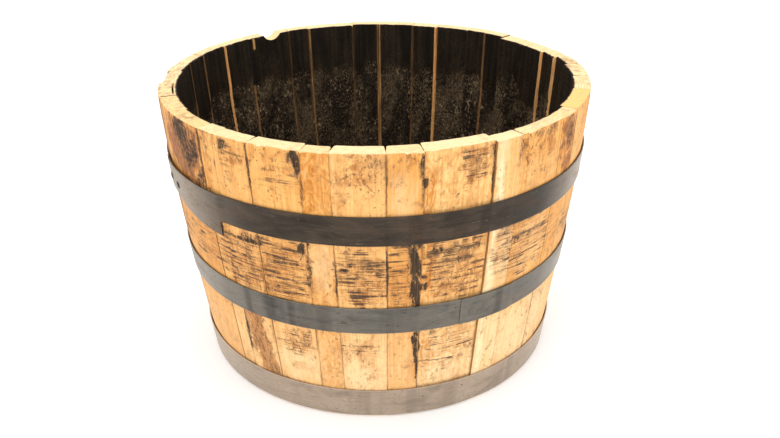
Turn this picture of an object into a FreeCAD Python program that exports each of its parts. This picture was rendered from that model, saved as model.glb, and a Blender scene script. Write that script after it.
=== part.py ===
import FreeCAD, Part
import math
import os

import Sketcher

# Half of an oak cask, sawn across at its bilge and standing on its head.
# Millimetres, +Z up. The origin is on the cask's axis, at the level it stands on.

doc = FreeCAD.newDocument("half_cask")
sheet = doc.addObject("Spreadsheet::Sheet", "sizes")
V = FreeCAD.Vector

# ---------------------------------------------------------------- driving dimensions
DRIVING = {
    "rim_height": 440.0,         # the sawn rim above the floor
    "straight_height": 200.0,    # below this the staves run straight, above it they bend
    "base_radius": 283.0,        # outside of the staves at the floor
    "taper": 0.13,               # outward run per unit of height on the straight part
    "bilge_radius": 330.0,       # outside of the staves at the rim
    "stave_thick": 27.0,         # at the chime
    "croze_height": 40.0,        # middle of the croze groove that holds the head
    "croze_width": 6.0,
    "croze_radius": 267.0,       # bottom of the groove
    "chime_bevel": 10.0,         # bevel inside the chime, across the stave's thickness
    "chime_bevel_height": 18.0,
    "hoop_thick": 2.0,
    "hoop_gap": 0.2,             # off the proudest staves, and between a hoop's two lapped layers
    "joggle": 2.4,               # the angle in which the lapping strip climbs over the strip's end
    "bung_radius": 19.5,
    "bung_above_rim": 8.5,       # the bung hole's centre lay above the saw cut
    "rivet_radius": 3.0,
    "rivet_head_radius": 6.0,
    "rivet_head_height": 1.5,
    "rivet_flat_radius": 1.6,    # the small hammered flat on top of the head
    "head_thick": 22.0,
    "head_play": 0.3,            # between the head and the bottom and sides of the croze
    "tongue": 10.5,              # width of the thin edge that sits in the croze
    "head_bevel": 25.0,          # width of the bevel from the tongue up to the full thickness
    "dowel_radius": 4.0,
    "dowel_depth": 22.0,         # into each of the two boards that a dowel joins
    "dowel_play": 0.5,           # at each end of a dowel
}

# Angles are degrees about +Z, counted from the front (-Y) towards +X. For each stave, going round from
# the first joint: the angle where it ends, how far it sits in from the proudest ones, its thickness at
# the rim, and how far its sawn end is below the rim's full height.
FIRST_JOINT = -46.0
STAVES = [
    (-40.6, 1.0, 27.0, 0.6), (-30.3, 0.0, 26.0, 0.0), (-17.0, 0.8, 27.0, 0.3), (-10.3, 0.0, 25.5, 0.9),
    (2.1, 0.0, 28.5, 0.0), (10.5, 0.8, 29.0, 0.4), (27.9, 3.0, 29.5, 0.0), (35.5, 0.0, 25.0, 1.6),
    (50.3, 0.4, 22.5, 0.4), (58.0, 0.0, 24.0, 0.9), (74.0, 0.8, 27.5, 0.2), (86.0, 0.4, 27.0, 1.2),
    (97.0, 0.0, 27.0, 0.4), (105.0, 0.3, 22.2, 0.0), (112.0, 1.2, 25.8, 1.4), (121.0, 1.8, 29.0, 2.2),
    (132.5, 1.5, 29.5, 1.9), (139.5, 0.4, 25.5, 0.3), (146.5, 0.0, 24.5, 0.0), (158.0, 0.5, 24.5, 0.4),
    (166.5, 1.0, 27.0, 0.8), (178.5, 0.3, 26.0, 0.3), (187.5, 0.0, 23.5, 0.0), (203.2, 0.6, 26.0, 0.5),
    (210.5, 0.0, 22.5, 0.2), (226.0, 0.4, 24.0, 0.3), (236.8, 0.2, 23.0, 0.1), (248.0, 0.0, 22.0, 0.0),
    (257.0, 0.5, 22.0, 0.4), (265.0, 0.0, 24.0, 0.7), (275.5, 4.5, 23.5, 0.3), (287.0, 0.0, 28.5, 0.0),
    (300.0, 0.7, 28.0, 0.9), (314.0, 0.2, 25.5, 0.2),
]
BUNG_STAVE = 26

# For each hoop: its lower edge, its width, the angle of its first end, the lap behind that end (+ runs
# towards +X from it), how far back the strip starts to slant, how far its first end hangs low, and
# whether that end is tucked under the strip's other end.
HOOPS = {
    "bilge_hoop": (306.5, 44.0, -42.0, -30.0, 36.0, 24.0, True),
    "quarter_hoop": (160.5, 44.0, 21.5, 15.0, 18.0, 0.0, False),
    "head_hoop": (2.0, 50.0, 160.0, 15.0, 18.0, 0.0, False),
}

# Two rivets in each lap: how far behind the first end, in degrees, and how far above mid-width.
RIVETS = {
    "bilge_hoop": ((20.0, -5.0), (25.5, -2.0)),
    "quarter_hoop": ((3.3, -1.5), (7.3, 1.5)),
    "head_hoop": ((4.0, 1.5), (8.5, -1.5)),
}

# The head's boards run towards the bung. Their joints lie this far from the head's middle.
BOARDS_FACE = 218.2
BOARD_JOINTS = [-176.0, -86.0, 8.0, 92.0, 181.0]

row = 0
for alias, value in DRIVING.items():
    row += 1
    sheet.set(f"A{row}", alias)
    sheet.set(f"B{row}", str(value))
    sheet.setAlias(f"B{row}", alias)

joint = FIRST_JOINT
for number, (joint_end, setback, rim_thick, low) in enumerate(STAVES, 1):
    row += 1
    cells = [("B", "width", joint_end - joint), ("C", "setback", setback),
             ("D", "rimthick", rim_thick), ("E", "low", low)]
    for column, word, value in cells:
        sheet.set(f"{column}{row}", str(round(value, 3)))
        sheet.setAlias(f"{column}{row}", f"{word}_{number:02d}")
    joint = joint_end

for hoop_name, (low_edge, width, _, _, _, hang, _) in HOOPS.items():
    row += 1
    cells = [("B", "edge", low_edge), ("C", "broad", width), ("D", "hang", hang)]
    for column, word, value in cells:
        sheet.set(f"{column}{row}", str(value))
        sheet.setAlias(f"{column}{row}", f"{hoop_name}_{word}")
doc.recompute()


def size(alias):
    return float(getattr(sheet, alias))


# ---------------------------------------------------------------- shared geometry
RISE = size("rim_height") - size("straight_height")
SHOULDER_RADIUS = size("base_radius") + size("taper") * size("straight_height")


def outer_radius(height):
    """Outside of the proudest staves: a straight taper, then the arc that runs on from it to the rim."""
    if height <= size("straight_height"):
        return size("base_radius") + size("taper") * height
    lean = math.hypot(1.0, size("taper"))
    out = size("bilge_radius") - SHOULDER_RADIUS
    bend = (out ** 2 + RISE ** 2) * lean / 2.0 / (size("taper") * RISE - out)
    centre_height = size("straight_height") + size("taper") * bend / lean
    return SHOULDER_RADIUS - bend / lean + math.sqrt(bend ** 2 - (height - centre_height) ** 2)


def slope_at(height):
    return outer_radius(height + 0.5) - outer_radius(height - 0.5)


def at_angle(theta):
    """The turn that brings the +X half-plane round to theta, counted from the front (-Y) towards +X."""
    return FreeCAD.Rotation(V(0, 0, 1), theta - 90.0)


def origin_item(body, role):
    return next(item for item in body.Origin.OriginFeatures if item.Role == role)


def new_body(label):
    body = doc.addObject("PartDesign::Body", label)
    body.Label = label
    return body


def new_sketch(body, name, role="XZ_Plane", offset=None):
    sketch = body.newObject("Sketcher::SketchObject", name)
    sketch.AttachmentSupport = [(origin_item(body, role), "")]
    sketch.MapMode = "FlatFace"
    if offset:
        sketch.AttachmentOffset = offset
    return sketch


def outline(sketch, corners, arcs=(), smooth=()):
    """A closed outline through the corners. Each corner gives its two coordinates, each as a pair: the
    number, and the expression that binds it (0 puts it on the axis). arcs maps an edge's index to a point
    that the edge bends through, and smooth lists the edges that run on into the next without a corner."""
    arcs = dict(arcs)
    points = [V(x[0], y[0], 0) for x, y in corners]
    count = len(points)
    for i, start in enumerate(points):
        end = points[(i + 1) % count]
        if i in arcs:
            sketch.addGeometry(Part.Arc(start, V(*arcs[i], 0), end))
        else:
            sketch.addGeometry(Part.LineSegment(start, end))
    ends = [ends_of(sketch, i, points[i]) for i in range(count)]
    for i in range(count):
        following = (i + 1) % count
        kind = "Tangent" if i in smooth else "Coincident"
        sketch.addConstraint(Sketcher.Constraint(kind, i, ends[i][1], following, ends[following][0]))
    for i, corner in enumerate(corners):
        for kind, (number, expression) in zip(("DistanceX", "DistanceY"), corner):
            if expression == 0:
                axis = -2 if kind == "DistanceX" else -1
                sketch.addConstraint(Sketcher.Constraint("PointOnObject", i, ends[i][0], axis))
                continue
            index = sketch.addConstraint(Sketcher.Constraint(kind, -1, 1, i, ends[i][0], number))
            sketch.setExpression(f"Constraints[{index}]", expression)


def ends_of(sketch, index, start):
    """Sketcher turns every arc counter-clockwise, so its first vertex may be the outline's second."""
    first = sketch.getPoint(index, 1)
    return (1, 2) if first.distanceToPoint(start) < 1e-6 else (2, 1)


def revolve(body, sketch, name, angle, midplane=False, backwards=False):
    feature = body.newObject("PartDesign::Revolution", name)
    feature.Profile = (sketch, [""])
    feature.ReferenceAxis = (origin_item(body, "Z_Axis"), [""])
    feature.Midplane = midplane
    feature.Reversed = backwards
    feature.setExpression("Angle", angle)
    return feature


def drill(body, name, mouth, radius, depth):
    """A round hole from `mouth`, a placement whose Z points out of the hole. Its sizes are expressions."""
    doc.recompute()
    before = body.Shape.Volume
    sketch = new_sketch(body, f"{name}_circle", "XY_Plane", mouth)
    sketch.addGeometry(Part.Circle(V(0, 0, 0), V(0, 0, 1), 1.0))
    sketch.addConstraint(Sketcher.Constraint("Coincident", 0, 3, -1, 1))
    index = sketch.addConstraint(Sketcher.Constraint("Radius", 0, 1.0))
    sketch.setExpression(f"Constraints[{index}]", radius)
    pocket = body.newObject("PartDesign::Pocket", name)
    pocket.Profile = (sketch, [""])
    pocket.setExpression("Length", depth)
    doc.recompute()
    if before - body.Shape.Volume < 1.0:
        raise RuntimeError(f"{name} cuts nothing")


def group(label, members):
    compound = doc.addObject("Part::Compound", label)
    compound.Label = label
    compound.Links = members
    compound.Placement = FreeCAD.Placement()
    return compound


# ---------------------------------------------------------------- staves
def stave_corners(number, setback, rim_thick, low):
    """Radial section of a stave, anticlockwise from the outer corner at the floor."""
    taper = size("taper")
    straight = size("straight_height")
    base = size("base_radius")
    thick = size("stave_thick")
    rim = size("rim_height") - low
    croze_top = size("croze_height") + size("croze_width") / 2
    croze_low = size("croze_height") - size("croze_width") / 2
    bevel_top = size("chime_bevel_height")
    back = f"sizes.setback_{number:02d}"
    inner = f"sizes.base_radius - sizes.stave_thick - {back}"
    rim_height = f"sizes.rim_height - sizes.low_{number:02d}"
    shoulder = "sizes.base_radius + sizes.taper * sizes.straight_height"
    middle_thick = f"(sizes.stave_thick + sizes.rimthick_{number:02d}) / 2"
    shoulder_radius = base + taper * straight - setback
    half_width = "sizes.croze_width / 2"

    def wall(height, text):
        return (base - thick - setback + taper * height, f"{inner} + sizes.taper * {text}")

    top_text = f"(sizes.croze_height + {half_width})"
    low_text = f"(sizes.croze_height - {half_width})"
    return [
        ((base - setback, f"sizes.base_radius - {back}"), (0.0, 0)),
        ((shoulder_radius, f"{shoulder} - {back}"), (straight, "sizes.straight_height")),
        ((size("bilge_radius") - setback, f"sizes.bilge_radius - {back}"), (rim, rim_height)),
        ((size("bilge_radius") - setback - rim_thick,
          f"sizes.bilge_radius - {back} - sizes.rimthick_{number:02d}"), (rim, rim_height)),
        ((shoulder_radius - (thick + rim_thick) / 2, f"{shoulder} - {back} - {middle_thick}"),
         (straight, "sizes.straight_height")),
        (wall(croze_top, top_text), (croze_top, top_text)),
        ((size("croze_radius"), "sizes.croze_radius"), (croze_top, top_text)),
        ((size("croze_radius"), "sizes.croze_radius"), (croze_low, low_text)),
        (wall(croze_low, low_text), (croze_low, low_text)),
        (wall(bevel_top, "sizes.chime_bevel_height"), (bevel_top, "sizes.chime_bevel_height")),
        ((base - thick - setback + size("chime_bevel"), f"{inner} + sizes.chime_bevel"), (0.0, 0)),
    ]


def make_stave(number, start, end, setback, rim_thick, low):
    label = f"stave_{number:02d}"
    body = new_body(label)
    section = new_sketch(body, f"{label}_section")
    halfway = (size("straight_height") + size("rim_height") - low) / 2
    bend = outer_radius(halfway) - setback
    inside = bend - (size("stave_thick") + 3 * rim_thick) / 4
    outline(section, stave_corners(number, setback, rim_thick, low),
            {1: (bend, halfway), 3: (inside, halfway)}, smooth=(0, 3))
    revolve(body, section, f"{label}_turn", f"sizes.width_{number:02d}", midplane=True)
    if number == BUNG_STAVE:
        # The saw cut passed below the middle of the bung hole, so a shallow round notch is left.
        outside = V(2 * size("bilge_radius"), 0, size("rim_height") + size("bung_above_rim"))
        drill(body, "bung_hole", FreeCAD.Placement(outside, FreeCAD.Rotation(V(0, 1, 0), 90.0)),
              "sizes.bung_radius", "1.5 * sizes.bilge_radius")
    body.Placement = FreeCAD.Placement(V(0, 0, 0), at_angle((start + end) / 2))
    return body


# ---------------------------------------------------------------- hoops
SECTION_STEP = 3.0       # degrees between the sections of the slanting strip
LAP_SECTIONS = 6         # along the lap itself
END_GAP = 0.3            # degrees between the strip's hidden end and the foot of the joggle
BORE_START = 6           # rivet bores start this many strips' thicknesses outside the staves
BORE_DEPTH = 7           # and run this many deep, through both ends of the strip
DOME_BEND = 0.72, 0.68   # where a rivet head's curve passes, as shares of the head's radius and height


def hoop_middle(name):
    """The height of a hoop's mid-width, where it lies on the staves, and their slope there."""
    middle = HOOPS[name][0] + HOOPS[name][1] / 2
    return middle, slope_at(middle)


def hoop_section(body, name, back, lift, hang):
    """The strip's section `back` degrees behind the first end. lift counts strips' thicknesses off the
    staves, and hang is the part of the end's full hang that this section has."""
    low_edge, width, _, lap = HOOPS[name][:4]
    middle, slope = hoop_middle(name)
    offset = FreeCAD.Placement(V(0, 0, 0), FreeCAD.Rotation(V(0, 1, 0), math.copysign(back, lap)))
    sketch = new_sketch(body, f"{name}_section_{len(body.Group)}", offset=offset)
    stand = lift * (size("hoop_thick") + size("hoop_gap")) + size("hoop_gap")
    corners = []
    for across, up in ((0, 0), (1, 0), (1, 1), (0, 1)):
        height = low_edge + up * width - hang * size(f"{name}_hang")
        height_text = f"sizes.{name}_edge + {up} * sizes.{name}_broad - {hang:.4f} * sizes.{name}_hang"
        radius = outer_radius(middle) + slope * (height - middle) + stand + across * size("hoop_thick")
        radius_text = (f"{outer_radius(middle):.4f} + {slope:.6f} * ({height_text} - {middle})"
                       f" + {lift:.4f} * (sizes.hoop_thick + sizes.hoop_gap) + sizes.hoop_gap"
                       f" + {across} * sizes.hoop_thick")
        corners.append(((radius, radius_text), (height, height_text)))
    outline(sketch, corners)
    return sketch


def end_sections(name):
    """Where the strip's sections stand from its slant to its first end, and each one's lift."""
    lap, slant, _, tucked = HOOPS[name][3:]
    if tucked:
        count = round(slant / SECTION_STEP)
        return [(slant * (1 - i / count), 0.0) for i in range(1, count + 1)]
    foot = abs(lap) + size("joggle")
    plain = [(slant - SECTION_STEP * i, 0.0) for i in range(1, 1 + int((slant - foot) / SECTION_STEP))]
    lapping = [(abs(lap) * (1 - i / LAP_SECTIONS), 1.0) for i in range(LAP_SECTIONS + 1)]
    return plain + [(foot, 0.0)] + lapping


def add_tail(body, label, foot, sections):
    loft = body.newObject("PartDesign::AdditiveLoft", label)
    loft.Profile = (foot, [""])
    loft.Sections = [(section, [""]) for section in sections]
    loft.Ruled = True


def make_hoop(name):
    """A strip bent round the staves: a plain ring, its slanting first end, and the lap. The other end
    climbs over a tucked first end, and otherwise the first end climbs over the other."""
    end, lap, slant, _, tucked = HOOPS[name][2:]
    body = new_body(name)
    foot = hoop_section(body, name, slant, 0.0, 0.0)
    ring_end = 360.0 - END_GAP - size("joggle") if tucked else 360.0 + abs(lap) - END_GAP
    revolve(body, foot, f"{name}_ring", f"{ring_end - slant}", backwards=lap < 0)
    slanting = []
    for back, lift in end_sections(name):
        done = 1.0 - back / slant
        slanting.append(hoop_section(body, name, back, lift, done ** 2 * (3.0 - 2.0 * done)))
    add_tail(body, f"{name}_slant", foot, slanting)
    if tucked:
        climb = hoop_section(body, name, ring_end, 0.0, 0.0)
        stops = [-END_GAP] + [abs(lap) * i / LAP_SECTIONS for i in range(1, LAP_SECTIONS + 1)]
        lapping = [hoop_section(body, name, 360.0 + stop, 1.0, 0.0) for stop in stops]
        add_tail(body, f"{name}_lap", climb, lapping)
    for index, (back, up) in enumerate(RIVETS[name], 1):
        mouth = rivet_place(name, back, up)
        mouth.Base = mouth.Base + mouth.Rotation.multVec(V(0, 0, BORE_START * size("hoop_thick")))
        drill(body, f"{name}_hole_{index}", mouth, "sizes.rivet_radius", f"{BORE_DEPTH} * sizes.hoop_thick")
    body.Placement = FreeCAD.Placement(V(0, 0, 0), at_angle(end))
    return body


def rivet_place(name, back, up):
    """A rivet's seat on the hoop's inner face, square to the slanting strip, in the hoop's own frame."""
    middle, slope = hoop_middle(name)
    turn = FreeCAD.Rotation(V(0, 0, 1), math.copysign(back, HOOPS[name][3]))
    lean = FreeCAD.Rotation(V(0, 1, 0), 90.0 + math.degrees(math.atan(slope)))
    seat = V(outer_radius(middle) + slope * up + size("hoop_gap"), 0, middle + up)
    return FreeCAD.Placement(turn.multVec(seat), turn.multiply(lean))


def make_rivets(name):
    """The pair of round-headed rivets that hold a hoop's lap, flush inside and domed outside."""
    through = 2 * size("hoop_thick") + size("hoop_gap")
    through_text = "2 * sizes.hoop_thick + sizes.hoop_gap"
    radius, head, dome = size("rivet_radius"), size("rivet_head_radius"), size("rivet_head_height")
    flat = size("rivet_flat_radius")
    top_text = f"{through_text} + sizes.rivet_head_height"
    rivets = []
    for index, (back, up) in enumerate(RIVETS[name], 1):
        rivet = new_body(f"{name}_rivet_{index}")
        half = new_sketch(rivet, f"{name}_rivet_{index}_half")
        corners = [((0.0, 0), (0.0, 0)), ((radius, "sizes.rivet_radius"), (0.0, 0)),
                   ((radius, "sizes.rivet_radius"), (through, through_text)),
                   ((head, "sizes.rivet_head_radius"), (through, through_text)),
                   ((flat, "sizes.rivet_flat_radius"), (through + dome, top_text)),
                   ((0.0, 0), (through + dome, top_text))]
        outline(half, corners, {3: (DOME_BEND[0] * head, through + DOME_BEND[1] * dome)})
        revolve(rivet, half, f"{name}_rivet_{index}_turn", "360")
        ring_turn = FreeCAD.Placement(V(0, 0, 0), at_angle(HOOPS[name][2]))
        rivet.Placement = ring_turn.multiply(rivet_place(name, back, up))
        rivets.append(rivet)
    return group(f"{name}_rivets", rivets)


# ---------------------------------------------------------------- head
def head_section(body, label):
    """Half of the head's section: a thin tongue for the croze, and a bevel on both faces."""
    edge, thin = size("croze_radius") - size("head_play"), size("croze_width") / 2 - size("head_play")
    neck, full = edge - size("tongue"), edge - size("tongue") - size("head_bevel")
    middle, half = size("croze_height"), size("head_thick") / 2
    edge_text = "sizes.croze_radius - sizes.head_play"
    neck_text = f"{edge_text} - sizes.tongue"
    full_text = f"{neck_text} - sizes.head_bevel"
    thin_text = "(sizes.croze_width / 2 - sizes.head_play)"
    spots = [(0.0, 0, -half, "- sizes.head_thick / 2"), (full, full_text, -half, "- sizes.head_thick / 2"),
             (neck, neck_text, -thin, f"- {thin_text}"), (edge, edge_text, -thin, f"- {thin_text}"),
             (edge, edge_text, thin, f"+ {thin_text}"), (neck, neck_text, thin, f"+ {thin_text}"),
             (full, full_text, half, "+ sizes.head_thick / 2"), (0.0, 0, half, "+ sizes.head_thick / 2")]
    sketch = new_sketch(body, f"{label}_section")
    outline(sketch, [((radius, text), (middle + rise, f"sizes.croze_height {rise_text}"))
                     for radius, text, rise, rise_text in spots])
    return sketch


def dowel_spots():
    """Two dowels in each joint between head boards, halfway out to the bevel."""
    full = size("croze_radius") - size("head_play") - size("tongue") - size("head_bevel")
    for joint_at in BOARD_JOINTS:
        reach = 0.5 * math.sqrt(full ** 2 - joint_at ** 2)
        for along in (-reach, reach):
            yield joint_at, along


def make_board(number):
    """One board of the head: the bevelled disc between two straight joints, bored for the dowels."""
    label = f"head_board_{number}"
    body = new_body(label)
    revolve(body, head_section(body, label), f"{label}_disc", "360")
    far = 2 * size("croze_radius")
    limits = [-far] + BOARD_JOINTS + [far]
    low, high = limits[number - 1], limits[number]
    for side, joint_at, beyond in (("low", low, -far), ("high", high, far)):
        if abs(joint_at) == far:
            continue
        doc.recompute()
        before = body.Shape.Volume
        waste = new_sketch(body, f"{label}_{side}_waste", "XY_Plane")
        outline(waste, [((-far, "-2 * sizes.croze_radius"), (joint_at, f"{joint_at}")),
                        ((far, "2 * sizes.croze_radius"), (joint_at, f"{joint_at}")),
                        ((far, "2 * sizes.croze_radius"), (beyond, f"{beyond}")),
                        ((-far, "-2 * sizes.croze_radius"), (beyond, f"{beyond}"))])
        cut = body.newObject("PartDesign::Pocket", f"{label}_{side}_joint")
        cut.Profile = (waste, [""])
        cut.Type = "ThroughAll"
        cut.Midplane = True
        doc.recompute()
        if before - body.Shape.Volume < 1.0:
            raise RuntimeError(f"{label}'s {side} joint cuts nothing")
    for index, (joint_at, along) in enumerate(dowel_spots(), 1):
        if joint_at not in (low, high):
            continue
        lean = -90.0 if joint_at == high else 90.0
        spot = V(along, joint_at, size("croze_height"))
        mouth = FreeCAD.Placement(spot, FreeCAD.Rotation(V(1, 0, 0), lean))
        drill(body, f"{label}_bore_{index}", mouth, "sizes.dowel_radius", "sizes.dowel_depth")
    body.Placement = FreeCAD.Placement(V(0, 0, 0), at_angle(BOARDS_FACE))
    return body


def make_dowels():
    head_turn = FreeCAD.Placement(V(0, 0, 0), at_angle(BOARDS_FACE))
    dowels = []
    for index, (joint_at, along) in enumerate(dowel_spots(), 1):
        dowel = doc.addObject("Part::Cylinder", f"dowel_{index}")
        dowel.setExpression("Radius", "sizes.dowel_radius")
        dowel.setExpression("Height", "2 * (sizes.dowel_depth - sizes.dowel_play)")
        start = V(along, joint_at - size("dowel_depth") + size("dowel_play"), size("croze_height"))
        dowel.Placement = head_turn.multiply(FreeCAD.Placement(start, FreeCAD.Rotation(V(1, 0, 0), -90.0)))
        dowels.append(dowel)
    return group("head_dowels", dowels)


# ---------------------------------------------------------------- assembly
nodes = []
joint = FIRST_JOINT
for number, (joint_end, setback, rim_thick, low) in enumerate(STAVES, 1):
    nodes.append(make_stave(number, joint, joint_end, setback, rim_thick, low))
    joint = joint_end
for hoop_name in HOOPS:
    nodes.append(make_hoop(hoop_name))
    nodes.append(make_rivets(hoop_name))
for number in range(1, len(BOARD_JOINTS) + 2):
    nodes.append(make_board(number))
nodes.append(make_dowels())
doc.recompute()

failed = [item.Label for item in doc.Objects if {"Invalid", "Error"} & set(item.State)]
failed += [node.Label for node in nodes if node.Shape.isNull() or not node.Shape.isValid()]
if failed:
    raise RuntimeError(f"these failed: {failed}")

os.makedirs("parts", exist_ok=True)
for node in nodes:
    node.Shape.exportStep(f"parts/{node.Label}.step")
    print(node.Label, len(node.Shape.Solids), round(node.Shape.Volume / 1000.0, 2), "cm3")
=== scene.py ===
"""Half of an oak cask, sawn across at its bilge: the looks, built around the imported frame.

Lengths are metres. Angles called theta are degrees about +Z, counted from the front (-Y) towards +X.
"""
import math

import bpy
import numpy as np
from mathutils import Matrix, Vector


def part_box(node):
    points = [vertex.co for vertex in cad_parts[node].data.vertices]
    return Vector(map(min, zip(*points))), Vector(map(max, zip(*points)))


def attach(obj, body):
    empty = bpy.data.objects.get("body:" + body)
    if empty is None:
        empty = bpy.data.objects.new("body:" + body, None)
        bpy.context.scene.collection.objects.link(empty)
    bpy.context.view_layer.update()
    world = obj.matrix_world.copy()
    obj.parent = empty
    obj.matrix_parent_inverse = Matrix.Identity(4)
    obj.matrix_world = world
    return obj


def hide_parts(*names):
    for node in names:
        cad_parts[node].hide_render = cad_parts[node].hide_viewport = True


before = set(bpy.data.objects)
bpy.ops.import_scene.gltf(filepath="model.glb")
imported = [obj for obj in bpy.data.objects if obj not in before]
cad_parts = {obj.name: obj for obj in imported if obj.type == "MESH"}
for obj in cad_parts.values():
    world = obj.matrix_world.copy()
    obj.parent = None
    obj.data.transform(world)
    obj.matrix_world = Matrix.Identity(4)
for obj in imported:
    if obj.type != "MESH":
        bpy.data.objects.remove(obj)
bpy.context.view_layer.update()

MM = 0.001

# ---------------------------------------------------------------- places on the cask
STAVES, BOARDS = range(1, 35), range(1, 7)
BOARDS_RUN = 218.2                  # theta of the direction that the head's boards run in
OUTSIDE_RADIUS = 0.32               # turns degrees of the outside into metres, near enough for marks
JOINT_NEAR = 0.7                    # degrees within which an entry below belongs to a joint

# What shows at joints inside: theta, how wide the joint stands open on the inner face and how deep that
# reaches (mm), how bare of char its walls are, and the height (mm) below which they are bare.
JOINTS = [
    (-10.3, 5.5, 16, 0, 0), (2.1, 3.8, 12, 0, 0), (10.5, 2.4, 6, 0, 0), (20, 2, 5, 0, 0),
    (27.9, 2, 5, 0, 0), (58, 2, 6, 0, 0), (-30.3, 1.8, 6, 0, 0), (287, 2, 6, 0, 0), (105, 2.7, 4, 1, 440),
    (112, 2.6, 4, 1, 440), (139.5, 3.6, 4.5, 0.7, 440), (158, 4.2, 5, 1, 440), (166.5, 2.6, 4, 0.45, 440),
    (178.5, 5.4, 5, 0.85, 440), (187.5, 2.4, 4, 0.35, 440), (203.2, 3, 4, 0.5, 440),
    (210.5, 2.6, 4, 0.4, 440), (226, 3.2, 4, 0.6, 350), (236.8, 4.1, 5, 1, 440), (248, 3.4, 4.5, 0.65, 440),
    (257, 3.6, 4.5, 0.7, 440), (97, 2.4, 4, 0.5, 440), (268, 2.4, 4, 0.4, 440), (86, 2.4, 4, 0.4, 300),
    (74, 2.6, 4, 0.5, 380), (50.3, 2.4, 4, 0.5, 400), (300, 2.6, 4, 0.5, 400), (314, 2.4, 4, 0.4, 360),
]
PLAIN_JOINT = (0.8, 3, 0.12, 440)       # the same for a joint that isn't listed

# Vees that the drying wood opened in the sawn rim: theta, and how wide (mm) each one gapes inside.
RIM_VEES = [(-10.3, 3.4), (2.1, 3.2), (-30.3, 1.8), (10.5, 1.7), (20, 1), (74, 2.5), (287, 1.2)]
VEE_DEEP = 0.035                    # how far down the vees run before they close
# A split along a sawn end: the stave's number, theta from and to, its place as a share of the thickness.
RIM_SPLIT = (32, 276.8, 286.4, 0.78)
# A corner broken off a sawn end: the stave's number, theta of the corner, its reach in degrees, its depth.
BROKEN_CORNER = (12, 74.0, 3.4, 0.0065)
# Where a splinter of bare wood shows on the charred face: theta, and the height above which it is bare.
SPLINTER = (224.6, 0.417)
BUNG = (217.0, 0.0195, 0.0085)      # theta of the bung hole, its radius, and how far above the rim it was
CHAR_LINE = 0.355                   # the char is cracked and flaky below this height

# How pale and how warm a stave's wood is, where it stands out from its neighbours.
TINTS = {1: (0.3, 0.15), 2: (0.35, 0.1), 3: (0.25, 0.1), 4: (0.15, 0.5), 5: (0.55, 0), 6: (0.15, 0.3),
         7: (0.55, 0), 8: (0.65, 0), 9: (0.1, 0.16), 10: (0.1, 0.3), 11: (0.25, 0.15), 33: (0.15, 0.3),
         34: (0.1, 0.45)}
WARM_ENDS = {11: 1, 10: 0.25, 33: 0.35, 34: 0.45}       # whose sawn end is yellower than the rest
FIGURE = {4: 1.3, 5: 0.35, 7: 1, 9: 0.6, 14: 0.8, 19: 0.7, 28: 0.9}     # how curly the grain is
PLAIN_FIGURE = 0.25
# How much dirt is packed into a joint's outer edge, where it differs from the ordinary.
JOINT_DIRT = {-46.0: 0.3, -40.6: 0.55, -30.3: 0.75, -17.0: 0.9, -10.3: 0.6, 2.1: 0.8, 10.5: 0.7, 27.9: 0.6,
              35.5: 0.2, 50.3: 0.25, 58.0: 0.9, 74.0: 0.4}

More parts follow.
